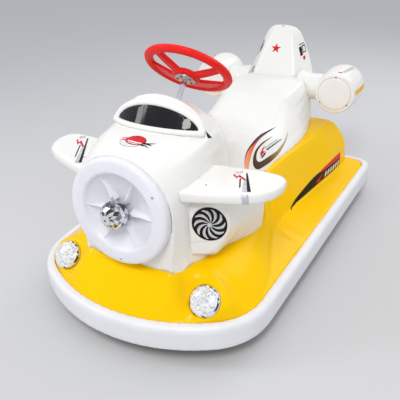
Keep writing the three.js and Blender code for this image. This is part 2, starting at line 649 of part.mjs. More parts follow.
const driveMotor = () => rod(30, V(0, STEER_Y, DRIVE_R + 6), V(1, 0, 0), 34.4, 96, 24);
// frame: a ring of square tube, four cross bars inside it, and two flat rails on top
const half = TUBE / 2;
function frameRing() {
  const edge = (out, h) => outline(out).map((p) => [p.x, p.y, h]);
  const low = FRAME_Z - half,
    high = FRAME_Z + half;
  return loft([edge(-20 - TUBE, low), edge(-20, low), edge(-20, high), edge(-20 - TUBE, high)], true);
}
const crossBar = (y, ring) =>
  biggest(cut(box(-360, 360, y - half, y + half, FRAME_Z - half, FRAME_Z + half),
    ring, ring.translate([GAP, 0, 0]), ring.translate([-GAP, 0, 0])));
const railLow = FRAME_Z + half + GAP,
  railHigh = railLow + RAIL_THICK;
function frameRail(side) {
  const x = side * RAIL_X;
  const posts = [[-190, 190], [60, 250], [440, 250]].map(([y, top]) => box(x - 10, x + 10, y - 10, y + 10,
    railHigh - 2, top));
  const hanger = box(x - 6, x + 6, AXLE_Y - 25, AXLE_Y + 25, 60, railLow + 2);
  const s = add(box(x - half, x + half, -540, 572, railLow, railHigh), ...posts, hanger);
  return cut(s, rod(10.4, V(0, AXLE_Y, REAR_R), V(1, 0, 0), -150, 150, 24));
}
// raised bridge over the fork, with the bearing tube for its stem
function forkBridge() {
  const legs = [1, -1].map((k) =>
    box(k * RAIL_X - half, k * RAIL_X + half, STEER_Y - 15, STEER_Y + 15, railHigh + GAP, 172));
  const tube = rod(18, V(0, STEER_Y, 0), V(0, 0, 1), 157, 182, 24);
  const s = add(...legs, box(-142, 142, STEER_Y - 20, STEER_Y + 20, 160, 172), tube);
  return cut(s, rod(11.6, V(0, STEER_Y, 0), V(0, 0, 1), 150, 190, 24));
}
// tray slung under the rails by its turned-out edges
function batteryTray() {
  const sides = [1, -1].flatMap((k) => [
    box(k * 114 - 2, k * 114 + 2, 110, 236, 81, railLow - GAP),
    box(k * 125 - 13, k * 125 + 13, 110, 236, railLow - 4, railLow - GAP),
  ]);
  return add(box(-116, 116, 110, 236, 81, 85), ...sides);
}

// ---------- lamps, arms and pods ----------
const lampRing = (side) => turned([[30, -4.6], [40, -4.6], [42, -1], [40, 3], [36.5, 4], [36.5, -0.5],
  [30, -0.5], [30, -4.6]], lampPoint(side), lampAxis, 24);
const lampLens = (side) => turned([[0, 0], [36, 0], [36, 5], [31, 11], [20, 15], [8, 17],
  [0, 17.2]], lampPoint(side), lampAxis, 24);
const podArm = (side, seat, tail) => {
  const arm = turned([[0, 100], [56, 100], [53, 130], [50, 150], [50, 190],
    [0, 190]], V(0, 540, 424), V(side, 0, 0), 20);
  return biggest(cut(arm, seat, seat.translate([side * GAP, 0, 0]), seat.translate([0, -GAP, 0]),
    seat.translate([0, 0, GAP]),
    tail, tail.translate([side * GAP, 0, 0]), tail.translate([0, -GAP, 0])));
};
function enginePod(side) {
  const { rim, wide, length } = POD;
  const p = [
    [0, 4], [62.4, 4], [62.4, -2], [rim - 4, -2], [rim, 1], [rim + 4, 14], [wide - 2, 48], [wide, 90],
    [wide, 118],
    [wide - 4, 146], [wide - 13, 170], [wide - 29, 190], [30, 201], [14, 205], [0, length],
  ];
  const s = turned(p, V(side * POD.x, POD.y, POD.z), V(0, 1, 0), 24);
  return biggest(cut(s, rod(50.4, V(0, 540, 424), V(side, 0, 0), 100, 190.4, 20)));
}
const podCover = (side) => turned([[0, 3.6], [61.6, 3.6], [61.6, -3], [58, -5], [52, -5.6],
  [0, -5.6]], V(side * POD.x, POD.y, POD.z), V(0, 1, 0), 32);

// ---------- assembly ----------
const under = shellFilled();
node("bumper_ring", bumperBand(), M.band);
node("base_shell", shell(), M.yellow);
const front = node("front_fuselage", frontFuselage(under), M.white);
const seat = node("seat_body", seatBody(under, front), M.white);
const tail = node("tail_backrest", tailBackrest(seat), M.white);
node("nose_cover", noseCover(), M.milky);
node("nose_ball", noseBall(), M.chrome);
const frame = node("windscreen_frame", windscreenFrame(front), M.white);
node("windscreen_panel", windscreenPanel(frame), M.black);
for (const [name, k] of [["left", 1], ["right", -1]]) {
  node("wing_" + name, wing(k, front), M.white);
  node("headlamp_ring_" + name, lampRing(k), M.chrome);
  node("headlamp_lens_" + name, lampLens(k), M.clear);
  node("pod_arm_" + name, podArm(k, seat, tail), M.white);
  node("engine_pod_" + name, enginePod(k), M.white);
  node("pod_cover_" + name, podCover(k), M.white);
  const [tyre, rim] = wheelPair(k * REAR_X, AXLE_Y, REAR_R, REAR_R, REAR_HALF, 10.4);
  node("rear_tyre_" + name, tyre, M.tyre);
  node("rear_rim_" + name, rim, M.rim);
}
node("steering_wheel", steeringWheel(), M.red);
node("steering_hub_plate", hubPlate(), M.chrome);
node("steering_column", steeringColumn(), M.chrome);
node("steering_fork", steeringFork(), M.steel);
node("drive_motor", driveMotor(), M.case);
const [driveTyre, driveRim] = wheelPair(0, STEER_Y, DRIVE_R, DRIVE_R, DRIVE_HALF, 8.4);
node("drive_tyre", driveTyre, M.tyre);
node("drive_rim", driveRim, M.rim);
const ring = frameRing();
node("frame_ring", ring, M.steel);
for (const [name, y] of [["front", -460], ["steering", -190], ["middle", 60], ["rear", 440]])
  node("frame_bar_" + name, crossBar(y, ring), M.steel);
node("frame_rail_left", frameRail(1), M.steel);
node("frame_rail_right", frameRail(-1), M.steel);
node("fork_bridge", forkBridge(), M.steel);
node("rear_axle", rod(10, V(0, AXLE_Y, REAR_R), V(1, 0, 0), -224, 224, 20), M.steel);
node("battery_tray", batteryTray(), M.steel);
node("battery", box(-75, 75, 118, 218, 85.4, 180), M.case);

export default group;
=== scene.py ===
"""Looks for the children's aeroplane bumper car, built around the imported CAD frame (metres)."""

import json
import math

import bmesh
import bpy
import numpy as np
from mathutils import Matrix, Vector
from mathutils.bvhtree import BVHTree

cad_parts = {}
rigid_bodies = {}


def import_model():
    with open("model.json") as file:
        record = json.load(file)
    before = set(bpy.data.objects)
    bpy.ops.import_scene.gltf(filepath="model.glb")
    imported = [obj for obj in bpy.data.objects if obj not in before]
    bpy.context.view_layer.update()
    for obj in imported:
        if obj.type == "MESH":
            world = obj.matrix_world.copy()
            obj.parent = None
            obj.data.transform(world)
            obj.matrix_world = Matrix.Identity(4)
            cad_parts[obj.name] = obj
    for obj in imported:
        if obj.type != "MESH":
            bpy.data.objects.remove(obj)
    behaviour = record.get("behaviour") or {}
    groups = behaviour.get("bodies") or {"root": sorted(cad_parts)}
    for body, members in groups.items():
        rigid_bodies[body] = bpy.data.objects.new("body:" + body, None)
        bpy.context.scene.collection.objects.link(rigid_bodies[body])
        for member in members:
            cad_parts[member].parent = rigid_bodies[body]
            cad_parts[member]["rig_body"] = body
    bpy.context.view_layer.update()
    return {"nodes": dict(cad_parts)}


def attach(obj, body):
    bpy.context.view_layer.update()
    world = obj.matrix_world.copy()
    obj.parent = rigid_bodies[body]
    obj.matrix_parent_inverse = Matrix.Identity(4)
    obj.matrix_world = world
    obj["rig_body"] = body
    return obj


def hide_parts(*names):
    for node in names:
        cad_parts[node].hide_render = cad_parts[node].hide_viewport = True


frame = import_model()
nodes = frame["nodes"]
MM = 0.001


# ---------- camera, stage and light ----------
CAMERA_PLACE = (0.686034, -1.384210, 0.996563)
CAMERA_TURN = (0.5054141, 0.5109011, -0.0241590)
CAMERA_LENS = 44.706
FLOOR_HALF = 9.0
SKY_COLOR, SKY_STRENGTH = (0.93, 0.95, 1.0, 1), 0.72
FLOOR_COLOR, FLOOR_ROUGH = (0.62, 0.62, 0.63, 1), 0.9


def camera():
    """A three-quarter view from the front left; CAMERA_TURN is yaw, pitch and roll in radians."""
    yaw, pitch, roll = CAMERA_TURN
    fwd = Vector((-math.sin(yaw) * math.cos(pitch), math.cos(yaw) * math.cos(pitch), -math.sin(pitch)))
    right = Vector((math.cos(yaw), math.sin(yaw), 0))
    up = right.cross(fwd)
    r = math.cos(roll) * right + math.sin(roll) * up
    u = -math.sin(roll) * right + math.cos(roll) * up
    data = bpy.data.cameras.new("camera")
    data.sensor_width = 36
    data.lens = CAMERA_LENS
    data.clip_start = 0.01
    cam = bpy.data.objects.new("camera", data)
    bpy.context.scene.collection.objects.link(cam)
    m = Matrix((r, u, -fwd)).transposed().to_4x4()
    m.translation = Vector(CAMERA_PLACE)
    cam.matrix_world = m
    bpy.context.scene.camera = cam


camera()


def link(name, mesh):
    o = bpy.data.objects.new(name, mesh)
    bpy.context.scene.collection.objects.link(o)
    return o


def nodes_of(material):
    material.use_nodes = True
    t = material.node_tree
    return t, t.nodes["Principled BSDF"]


def lamp(name, place, aim, size, power, tint):
    data = bpy.data.lights.new(name, "AREA")
    data.shape = "RECTANGLE"
    data.size, data.size_y = size
    data.energy = power
    data.color = tint
    o = bpy.data.objects.new(name, data)
    bpy.context.scene.collection.objects.link(o)
    o.location = place
    o.rotation_euler = (Vector(aim) - Vector(place)).to_track_quat("-Z", "Y").to_euler()


def studio():
    bm = bmesh.new()
    bmesh.ops.create_grid(bm, x_segments=8, y_segments=8, size=FLOOR_HALF)
    mesh = bpy.data.meshes.new("floor")
    bm.to_mesh(mesh)
    floor = link("floor", mesh)
    m = bpy.data.materials.new("floor")
    _, p = nodes_of(m)
    p.inputs["Base Color"].default_value = FLOOR_COLOR
    p.inputs["Roughness"].default_value = FLOOR_ROUGH
    mesh.materials.append(m)
    world = bpy.data.worlds.new("world")
    bpy.context.scene.world = world
    world.use_nodes = True
    back = world.node_tree.nodes["Background"]
    back.inputs["Color"].default_value = SKY_COLOR
    back.inputs["Strength"].default_value = SKY_STRENGTH
    lamp("key", (0.65, -1.95, 2.5), (0, -0.1, 0.25), (0.55, 0.9), 30, (1.0, 0.98, 0.93))
    lamp("fill", (-2.0, -1.5, 1.9), (0, 0, 0.3), (0.4, 1.5), 15, (0.95, 0.97, 1.0))
    lamp("rear", (0.9, 2.2, 2.2), (0, 0.2, 0.3), (2.2, 1.2), 22, (1.0, 0.99, 0.96))
    bpy.context.scene.view_settings.view_transform = "Standard"


studio()


# ---------- materials ----------
PLASTIC_IOR = 1.46
COAT_ROUGH = 0.05
WEAR_SCALE = 34
BUMP_DEPTH = 0.0004


class Look:
    """A procedural finish: colour mottle, roughness variation and a fine bump on one Principled shader."""

    def __init__(self, name, color, rough, **k):
        self.m = bpy.data.materials.new(name)
        self.t, self.p = nodes_of(self.m)
        self.coord = self.t.nodes.new("ShaderNodeTexCoord")
        p = self.p
        p.inputs["Metallic"].default_value = k.get("metal", 0.0)
        p.inputs["IOR"].default_value = PLASTIC_IOR
        p.inputs["Specular IOR Level"].default_value = k.get("specular", 0.5)
        p.inputs["Coat Weight"].default_value = k.get("coat", 0.0)
        p.inputs["Coat Roughness"].default_value = COAT_ROUGH
        p.inputs["Subsurface Weight"].default_value = k.get("sss", 0.0)
        if k.get("sss"):
            p.inputs["Subsurface Radius"].default_value = (0.012, 0.011, 0.011)
            p.inputs["Subsurface Scale"].default_value = 1.0
        other = k.get("color2", tuple(c * 0.93 for c in color))
        self.ramp("Base Color", self.noise(k.get("mottle", 9), 4, 0.55), color, other)
        rn = self.noise(WEAR_SCALE, 5, 0.6)
        r = self.t.nodes.new("ShaderNodeMapRange")
        r.inputs["To Min"].default_value = max(0.02, rough - k.get("rough_span", 0.05))
        r.inputs["To Max"].default_value = rough + k.get("rough_span", 0.05)
        self.t.links.new(rn, r.inputs["Value"])
        self.t.links.new(r.outputs["Result"], p.inputs["Roughness"])
        bump = self.t.nodes.new("ShaderNodeBump")
        bump.inputs["Strength"].default_value = k.get("bump", 0.15)
        bump.inputs["Distance"].default_value = BUMP_DEPTH
        self.t.links.new(self.noise(k.get("grain", 420), 3, 0.5), bump.inputs["Height"])
        self.t.links.new(bump.outputs["Normal"], p.inputs["Normal"])

    def noise(self, scale, detail, rough):
        n = self.t.nodes.new("ShaderNodeTexNoise")
        n.inputs["Scale"].default_value = scale
        n.inputs["Detail"].default_value = detail
        n.inputs["Roughness"].default_value = rough
        self.t.links.new(self.coord.outputs["Object"], n.inputs["Vector"])
        return n.outputs["Fac"]

    def ramp(self, socket, fac, a, b, lo=0.35, hi=0.65):
        r = self.t.nodes.new("ShaderNodeValToRGB")
        e = r.color_ramp.elements
        e[0].position, e[1].position = lo, hi
        e[0].color, e[1].color = (*a, 1), (*b, 1)
        self.t.links.new(fac, r.inputs["Fac"])
        self.t.links.new(r.outputs["Color"], self.p.inputs[socket])
        return r


YELLOW = Look("yellow", (1.0, 0.615, 0.0), 0.16, color2=(0.99, 0.585, 0.0), specular=0.1, mottle=5,
              bump=0.05, grain=200).m
WHITE = Look("white", (0.88, 0.875, 0.84), 0.24, color2=(0.86, 0.855, 0.825), specular=0.4, mottle=6,
             bump=0.1, grain=300).m
BAND = Look("bumper", (0.84, 0.845, 0.87), 0.42, color2=(0.8, 0.805, 0.835), mottle=14, bump=0.2,
            grain=500).m
MILKY = Look("milky", (0.82, 0.82, 0.87), 0.34, color2=(0.79, 0.79, 0.85), sss=0.25, mottle=12, bump=0.12,
             grain=340).m
RED = Look("red", (0.86, 0.022, 0.02), 0.36, color2=(0.8, 0.016, 0.014), specular=0.16, mottle=30,
           bump=0.35, grain=900).m
BLACK = Look("black", (0.006, 0.006, 0.008), 0.06, color2=(0.01, 0.01, 0.012), specular=0.35, mottle=16,
             bump=0.04).m
CHROME = Look("chrome", (0.74, 0.75, 0.77), 0.1, color2=(0.66, 0.67, 0.7), metal=1.0, mottle=40,
              bump=0.06).m
STEEL = Look("steel", (0.045, 0.048, 0.052), 0.45, color2=(0.03, 0.032, 0.035), mottle=24, bump=0.3,
             grain=180).m
DARK = Look("dark", (0.028, 0.028, 0.032), 0.6, color2=(0.02, 0.02, 0.023), mottle=20, bump=0.4,
            grain=220).m
TYRE = Look("tyre", (0.018, 0.018, 0.019), 0.8, color2=(0.03, 0.03, 0.03), mottle=26, bump=0.5, grain=300).m
RIM = Look("rim", (0.46, 0.47, 0.49), 0.45, color2=(0.4, 0.41, 0.43), mottle=24, bump=0.2, grain=260).m
PLATE = Look("plate", (0.6, 0.61, 0.62), 0.3, color2=(0.5, 0.5, 0.52), metal=1.0, mottle=50, bump=0.15).m
COVER = Look("cover", (0.86, 0.86, 0.87), 0.38, color2=(0.84, 0.84, 0.855), mottle=12, bump=0.15,
             grain=400).m


# ---------- refined copies of the CAD pieces ----------
CREASE = 38
RELAX_IN, RELAX_OUT, SOFTEN_STEP = 0.5, -0.52, 0.4
RIB_DEPTH, RIB_COUNT = 0.0011, 54
TREAD_DEPTH, TREAD_COUNT = 0.0022, 26


def split_long(bm, edge, rounds=7):
    for _ in range(rounds):
        long = [e for e in bm.edges if e.calc_length() > edge]
        if not long:
            break
        bmesh.ops.subdivide_edges(bm, edges=long, cuts=1)
        bmesh.ops.triangulate(bm, faces=[f for f in bm.faces if len(f.verts) > 3], quad_method="BEAUTY")


def relax(bm, rounds, sharp, soften, hold=None):
    """Fairs the surface between its sharp lines, then those lines, then rounds them a little."""
    bm.verts.ensure_lookup_table()
    bm.verts.index_update()
    co = np.array([v.co for v in bm.verts])
    pairs = np.array([[e.verts[0].index, e.verts[1].index] for e in bm.edges])
    fold = np.array([len(e.link_faces) != 2 or e.calc_face_angle(0) > sharp for e in bm.edges])
    n = len(co)
    lines = pairs[fold]
    count = np.bincount(lines.ravel(), minlength=n)

    def mean(values, links, degree):
        s = np.zeros_like(values)
        np.add.at(s, links[:, 0], values[links[:, 1]])
        np.add.at(s, links[:, 1], values[links[:, 0]])
        return s / np.maximum(degree, 1)[:, None]

    degree = np.bincount(pairs.ravel(), minlength=n)
    free, on_line = count == 0, count == 2
    if hold is not None:
        held = hold(co)
        free, on_line = free & ~held, on_line & ~held
    for k in range(rounds * 2):
        step = RELAX_IN if k % 2 == 0 else RELAX_OUT
        move = mean(co, pairs, degree) - co
        along = mean(co, lines, count) - co
        co[free] += step * move[free]
        co[on_line] += step * along[on_line]
    for _ in range(soften):
        move = mean(co, pairs, degree) - co
        if hold is not None:
            move[held] = 0
        co += SOFTEN_STEP * move
    for v, c in zip(bm.verts, co):
        v.co = c


def refined(node, edge, rounds, sharp, soften, material, slot, shape=None, hold=None):
    """A copy of a CAD piece with its facets faired into smooth surfaces (edge in mm, sharp in degrees)."""
    bm = bmesh.new()
    bm.from_mesh(nodes[node].data)
    bmesh.ops.remove_doubles(bm, verts=bm.verts, dist=1e-5)
    bmesh.ops.dissolve_degenerate(bm, edges=bm.edges, dist=1e-5)
    split_long(bm, edge * MM)
    relax(bm, rounds, math.radians(sharp), soften, hold)
    if shape:
        shape(bm)
    mesh = bpy.data.meshes.new(node + "_skin")
    bm.to_mesh(mesh)
    bm.free()
    return placed(mesh, node, material)


def placed(mesh, node, material):
    """A finished mesh that stands for a CAD node and moves with its body."""
    for f in mesh.polygons:
        f.use_smooth = True
    mesh.set_sharp_from_angle(angle=math.radians(CREASE))
    o = link(node + "_skin", mesh)
    mesh.materials.append(material)
    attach(o, nodes[node]["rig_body"])
    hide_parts(node)
    return o


NOSE_LEAN = 0.068
NOSE_AXIS = Vector((0, -math.cos(NOSE_LEAN), math.sin(NOSE_LEAN)))
NOSE_MIDDLE = Vector((0, -0.567, 0.378))
WHEEL_LEAN = 0.709
WHEEL_AXIS = Vector((0, math.sin(WHEEL_LEAN), math.cos(WHEEL_LEAN)))
WHEEL_UP = Vector((0, -math.cos(WHEEL_LEAN), math.sin(WHEEL_LEAN)))
WHEEL_MIDDLE = Vector((0, -0.193, 0.641))


def near_dish(co):
    """The rim of the opening that the nose dish sits in stays as it is."""
    d = co - np.array(NOSE_MIDDLE)
    h = d @ np.array(NOSE_AXIS)
    r = np.linalg.norm(d - np.outer(h, np.array(NOSE_AXIS)), axis=1)
    return (r < 0.15) & (h > -0.03)


def finger_ribs(bm):
    """Shallow ribs across the inner side of the steering wheel's rim."""
    for v in bm.verts:
        d = v.co - WHEEL_MIDDLE
        h = d.dot(WHEEL_AXIS)
        flat = d - h * WHEEL_AXIS
        r = flat.length
        if r < 0.103:
            continue
        a = math.atan2(flat.dot(WHEEL_UP), flat.x)
        inward = max(0.0, min(1.0, (0.118 - r) / 0.008)) + max(0.0, min(1.0, (-h - 0.002) / 0.006))
        wave = 0.5 + 0.5 * math.cos(RIB_COUNT * a)
        v.co -= flat.normalized() * RIB_DEPTH * min(1, inward) * wave


def tree_of(mesh):
    return BVHTree.FromPolygons([v.co[:] for v in mesh.vertices], [p.vertices[:] for p in mesh.polygons])


CAD_TREES = {}


def meets(*others, reach=1.5, overlap=1.3):
    """Carries the edge that rests on another piece just into it, so that no gap shows along the seam."""

    def shape(bm):
        for other in others:
            if other not in CAD_TREES:
                CAD_TREES[other] = tree_of(nodes[other].data)
            for v in bm.verts:
                near = CAD_TREES[other].find_nearest(v.co, reach * MM)
                if near[0] is not None:
                    v.co = near[0] - near[1] * overlap * MM

    return {"shape": shape}


def tread(x, y, r):
    """Slanting grooves round a tyre's tread."""

    def shape(bm):
        for v in bm.verts:
            dy, dz = v.co.y - y, v.co.z - r
            out = math.hypot(dy, dz)
            if out < r * 0.93:
                continue
            a = math.atan2(dz, dy)
            if math.cos(TREAD_COUNT * a + 160 * abs(v.co.x - x)) > 0.55:
                v.co.y -= TREAD_DEPTH * dy / out
                v.co.z -= TREAD_DEPTH * dz / out

    return {"shape": shape}


SKINS = {}
for node, edge, rounds, sharp, soften, look, slot, more in (
    ("base_shell", 14, 46, 62, 1, YELLOW, "yellow", {}),
    ("bumper_ring", 12, 10, 26, 1, BAND, "bumper", {}),
    ("front_fuselage", 10, 34, 58, 0, WHITE, "white", {"hold": near_dish, **meets("base_shell")}),
    ("seat_body", 11, 34, 62, 2, WHITE, "white", meets("base_shell", "front_fuselage", reach=2.5)),
    ("tail_backrest", 9, 24, 70, 3, WHITE, "white", meets("seat_body", reach=4, overlap=3)),
    ("nose_cover", 6, 8, 40, 0, MILKY, "milky", meets("front_fuselage", overlap=0.3)),
    ("windscreen_frame", 6, 6, 50, 0, WHITE, "white", {}),
    ("windscreen_panel", 8, 4, 40, 0, BLACK, "black", {}),
    ("wing_left", 8, 6, 36, 1, WHITE, "white", meets("front_fuselage")),
    ("wing_right", 8, 6, 36, 1, WHITE, "white", meets("front_fuselage")),
    ("pod_arm_left", 9, 6, 50, 0, WHITE, "white", meets("seat_body", "engine_pod_left")),
    ("pod_arm_right", 9, 6, 50, 0, WHITE, "white", meets("seat_body", "engine_pod_right")),
    ("engine_pod_left", 8, 10, 50, 0, WHITE, "white", {}),
    ("engine_pod_right", 8, 10, 50, 0, WHITE, "white", {}),
    ("pod_cover_left", 7, 4, 50, 0, COVER, "white", {}),
    ("pod_cover_right", 7, 4, 50, 0, COVER, "white", {}),
    ("steering_wheel", 3.2, 12, 50, 1, RED, "red", {"shape": finger_ribs}),
    ("drive_tyre", 4, 2, 30, 0, TYRE, "tyre", tread(0, -0.36, 0.068)),
    ("rear_tyre_left", 4, 2, 30, 0, TYRE, "tyre", tread(0.196, 0.27, 0.075)),
    ("rear_tyre_right", 4, 2, 30, 0, TYRE, "tyre", tread(-0.196, 0.27, 0.075)),
):
    SKINS[node] = refined(node, edge, rounds, sharp, soften, look, slot, **more)

STEELS = ["frame_ring", "frame_rail_left", "frame_rail_right", "fork_bridge", "steering_fork", "rear_axle",
          "battery_tray"] + [n for n in nodes if n.startswith("frame_bar")]
for names, look in (
    (("steering_hub_plate",), PLATE),
    (("steering_column", "headlamp_ring_left", "headlamp_ring_right"), CHROME),
    (STEELS, STEEL),
    (("drive_motor", "battery"), DARK),
    (("drive_rim", "rear_rim_left", "rear_rim_right"), RIM),
):
    for n in names:
        nodes[n].data.materials.clear()
        nodes[n].data.materials.append(look)


# ---------- crystal ball and lamps ----------
def facet_look(name, color, rough, metal, tint2):
    return Look(name, color, rough, color2=tint2, metal=metal, coat=0.5, mottle=60, bump=0.1,
                rough_span=0.02).m


SILVER = facet_look("facet_silver", (0.86, 0.87, 0.89), 0.08, 1.0, (0.78, 0.79, 0.82))
# Painted reflection: a darker metal for some of the crystal ball's facets, standing in for dark surroundings
# mirrored in the chrome.
PAINTED_REFLECTION_GREY = facet_look("facet_grey_painted_reflection", (0.34, 0.35, 0.37), 0.12, 0.8, (0.26, 0.27, 0.29))
# Near black: the lamps' own dark specks and the ball's dimple, painted reflection on the ball's dark facets,
# and painted shade in the screw recesses.
DARK_SPECK_AND_PAINTED_DARK = facet_look("facet_dark_speck_and_painted_dark", (0.02, 0.02, 0.024), 0.1, 0.3, (0.04, 0.04, 0.045))
ICE = facet_look("facet_ice", (0.86, 0.87, 0.88), 0.1, 0.0, (0.74, 0.75, 0.78))
PALE = facet_look("facet_pale", (0.66, 0.67, 0.7), 0.1, 0.0, (0.56, 0.57, 0.61))
AMBER = facet_look("facet_amber", (0.9, 0.42, 0.06), 0.12, 0.0, (0.8, 0.5, 0.2))


def scatter(i, j, seed):
    """A repeatable value from 0 to 1 for facet i, j."""
    return (math.sin(i * 12.9898 + j * 78.233 + seed * 37.719) * 43758.5453) % 1.0


def frame_of(axis):
    z = Vector(axis).normalized()
    x = Vector((1, 0, 0)) if abs(z.x) < 0.9 else Vector((0, 1, 0))
    y = z.cross(x).normalized()
    return y.cross(z).normalized(), y, z


def faceted(name, rings, middle, axis, looks, pick, around, twist=0.5):
    """Rings of (radius, height) in mm joined by flat triangles, each with a look of its own."""
    x, y, z = frame_of(axis)
    bm = bmesh.new()
    rows = []
    for i, (r, h) in enumerate(rings):
        if r == 0:
            rows.append([bm.verts.new(middle + z * h * MM)] * around)
            continue
        rows.append([])
        for j in range(around):
            a = 2 * math.pi * (j + twist * i) / around
            rows[-1].append(bm.verts.new(middle + (x * math.cos(a) + y * math.sin(a)) * r * MM + z * h * MM))
    for i in range(len(rows) - 1):
        for j in range(around):
            a, b, c, d = rows[i][j], rows[i][(j + 1) % around], rows[i + 1][(j + 1) % around], rows[i + 1][j]
            for k, tri in enumerate(((a, b, d), (b, c, d))):
                if len(set(tri)) == 3:
                    bm.faces.new(tri).material_index = pick(i, 2 * j + k)
    if rings[0][0]:
        bm.faces.new(list(reversed(rows[0])))
    bmesh.ops.recalc_face_normals(bm, faces=bm.faces)
    mesh = bpy.data.meshes.new(name)
    bm.to_mesh(mesh)
    bm.free()
    for m in looks:
        mesh.materials.append(m)
    return link(name, mesh)


def ball_facet_painted_reflection(i, j):
    """Bright, grey and dark facets at random, the grey and dark ones being painted reflections on the one
    chrome, then the plain cap with its dark dimple.
    """
    if i > 7:
        return 2 if i > 10 else 0
    if scatter(i, j, 1) < 0.34:
        return 0
    return 1 if scatter(i, j, 2) < 0.5 else 2


def lamp_facet(i, j):
    """Dark and amber specks round the rim, and pale facets with a few specks over the face."""
    if i < 2:
        return 3 if scatter(i, j, 3) < 0.45 else 4 if scatter(i, j, 4) < 0.16 else 0
    if scatter(i, j, 5) < 0.6:
        return 0
    return 1 if scatter(i, j, 6) < 0.4 else 5 if scatter(i, j, 7) < 0.94 else 4


BALL_R, BALL_OUT = 35.6, 9
BALL_CAP = [(12.4, 33.9), (12, 36.2), (2.8, 36.9), (2.6, 36.1), (0, 36.0)]
LAMP_RINGS = [(40, 3.2), (40, 5.5), (37, 9), (32, 12), (26, 14.2), (20, 15.6), (14, 16.5), (8, 16.9), (3, 17),
              (0, 17.1)]
LAMP_X, LAMP_Y, LAMP_Z = 0.224, -0.537, 0.163
LAMP_AXIS = (0, -0.722, 0.692)
BALL_LOOKS = (SILVER, PAINTED_REFLECTION_GREY, DARK_SPECK_AND_PAINTED_DARK)
LAMP_LOOKS = (ICE, SILVER, PAINTED_REFLECTION_GREY, DARK_SPECK_AND_PAINTED_DARK, AMBER, PALE)

ball_middle = NOSE_MIDDLE + NOSE_AXIS * BALL_OUT * MM
# The ball's grey and dark facets are painted reflections; the real chrome is one colour.
rings = [(BALL_R * math.sin(t), -BALL_R * math.cos(t)) for t in np.linspace(0.5, math.pi - 0.36, 9)]
ball = faceted("crystal_ball", rings + BALL_CAP, ball_middle, NOSE_AXIS, BALL_LOOKS, ball_facet_painted_reflection, 14)
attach(ball, "nose_lamp")
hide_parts("nose_ball")

for side, sign in (("left", 1), ("right", -1)):
    lens_middle = Vector((sign * LAMP_X, LAMP_Y, LAMP_Z))
    lens = faceted("crystal_lamp_" + side, LAMP_RINGS, lens_middle, LAMP_AXIS, LAMP_LOOKS, lamp_facet, 26)
    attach(lens, "car_body")
    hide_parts("headlamp_lens_" + side)


# ---------- printed films ----------
FILM_OUT, FILM_STEP = 0.00035, 0.00012
FILM_CELL = 4.0


def film(name, color, rough=0.34, color2=None, gradient=None):
    """A printed colour; a gradient runs along the car, between two places in metres."""
    other = color2 or tuple(c * 0.85 for c in color)
    look = Look(name, color, rough, color2=other, mottle=70, bump=0.05, specular=0.12)
    if gradient:
        (lo, hi), stops = gradient
        t = look.t
        split = t.nodes.new("ShaderNodeSeparateXYZ")
        span = t.nodes.new("ShaderNodeMapRange")
        span.inputs["From Min"].default_value, span.inputs["From Max"].default_value = lo, hi
        t.links.new(look.coord.outputs["Object"], split.inputs[0])
        t.links.new(split.outputs["Y"], span.inputs["Value"])
        (first, start), (last, end) = stops[0], stops[-1]
        ramp = look.ramp("Base Color", span.outputs["Result"], start, end, first, last)
        for at, c in stops[1:-1]:
            ramp.color_ramp.elements.new(at).color = (*c, 1)
    return look.m


F_BLACK = film("film_black", (0.012, 0.011, 0.012))
F_RED = film("film_red", (0.72, 0.02, 0.035))
F_DARK_RED = film("film_dark_red", (0.2, 0.012, 0.012))
F_SILVER = film("film_silver", (0.42, 0.43, 0.46), 0.3, (0.66, 0.67, 0.69))
F_LILAC = film("film_lilac", (0.5, 0.5, 0.58), 0.3, (0.62, 0.62, 0.7))
F_WHITE = film("film_white", (0.86, 0.86, 0.86))
F_YELLOW = film("film_yellow", (0.95, 0.56, 0.01))
F_FLAME = film("film_flame", (0.8, 0.1, 0.01), gradient=((-0.14, 0.17), [
    (0.0, (0.95, 0.42, 0.2)), (0.3, (0.85, 0.13, 0.03)), (0.55, (0.6, 0.03, 0.02)),
    (1.0, (0.02, 0.01, 0.01))]))
F_GOLD = film("film_gold", (0.3, 0.2, 0.05), gradient=((-0.09, 0.2), [
    (0.0, (0.06, 0.03, 0.008)), (0.35, (0.12, 0.06, 0.012)), (0.6, (0.36, 0.23, 0.08)),
    (1.0, (0.6, 0.5, 0.32))]))

TREES = {}


def tree(node):
    if node not in TREES:
        TREES[node] = tree_of(SKINS[node].data)
    return TREES[node]


